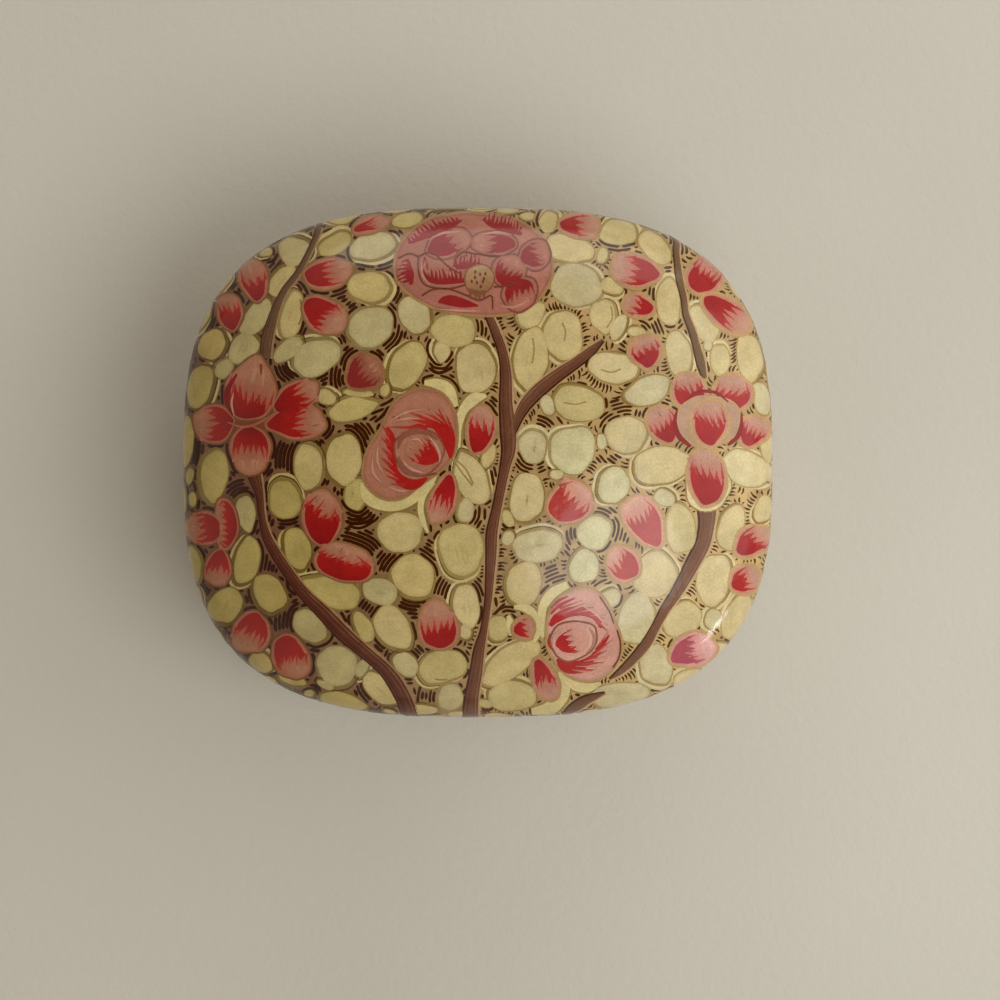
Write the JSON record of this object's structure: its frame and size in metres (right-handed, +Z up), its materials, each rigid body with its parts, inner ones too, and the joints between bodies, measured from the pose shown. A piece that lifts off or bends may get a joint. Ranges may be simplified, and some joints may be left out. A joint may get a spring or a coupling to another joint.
{
  "type": "lidded trinket box",
  "caption": "Small moulded papier-mache box with rounded corners and a domed lid that lifts off its inner neck, painted all over and lacquered.",
  "frame": {"origin": "middle of the underside, on the surface that the box stands on", "axes": "+Z up, the way the lid lifts; +X along the box's longer side; +Y along its shorter side, towards the top of the picture"},
  "size_m": [0.088, 0.076, 0.05],
  "materials": {
    "painted_lacquer": "painted flowers and leaves under glossy lacquer",
    "dark_lacquer": "dark brown satin lacquer",
    "black_board": "black satin paint"
  },
  "bodies": {
    "base": {"base_wall": "painted_lacquer", "base_floor": "black_board", "neck_collar": "dark_lacquer"},
    "lid": {"lid_shell": "painted_lacquer"}
  },
  "joints": [
    {"name": "lid_lift", "type": "slide", "parent": "base", "child": "lid", "axis": [0, 0, 1], "range_m": [0, 0.06]}
  ]
}
